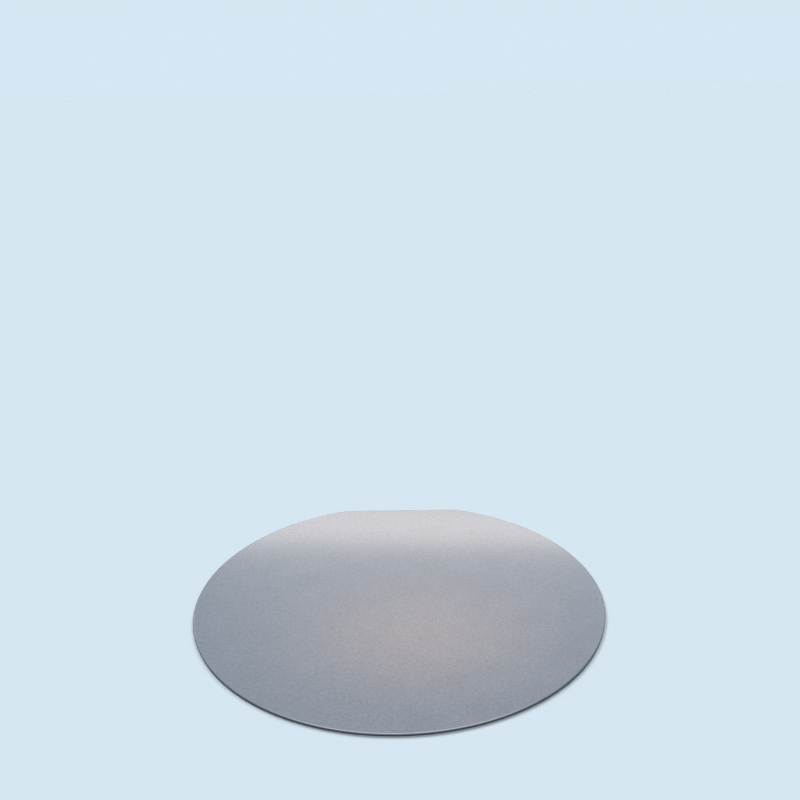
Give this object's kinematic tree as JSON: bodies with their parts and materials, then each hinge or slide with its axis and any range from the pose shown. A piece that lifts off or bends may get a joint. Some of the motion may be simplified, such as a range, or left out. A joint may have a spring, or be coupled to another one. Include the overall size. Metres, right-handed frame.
{
  "type": "silicon wafer",
  "caption": "Thin round disc of single-crystal silicon with one straight flat on its rim, a ground edge, one satin grey face and one mirror-polished face.",
  "frame": {"origin": "centre of the round rim, on the polished face that lies downwards", "axes": "+Z through the thickness towards the etched face, +Y at the middle of the primary flat, +X along the flat"},
  "size_m": [0.1, 0.0973, 0.0005],
  "materials": {
    "silicon": "satin lapped and etched upper face, finely ground edge, mirror-polished lower face"
  },
  "bodies": {
    "root": {"wafer": "silicon"}
  },
  "joints": []
}
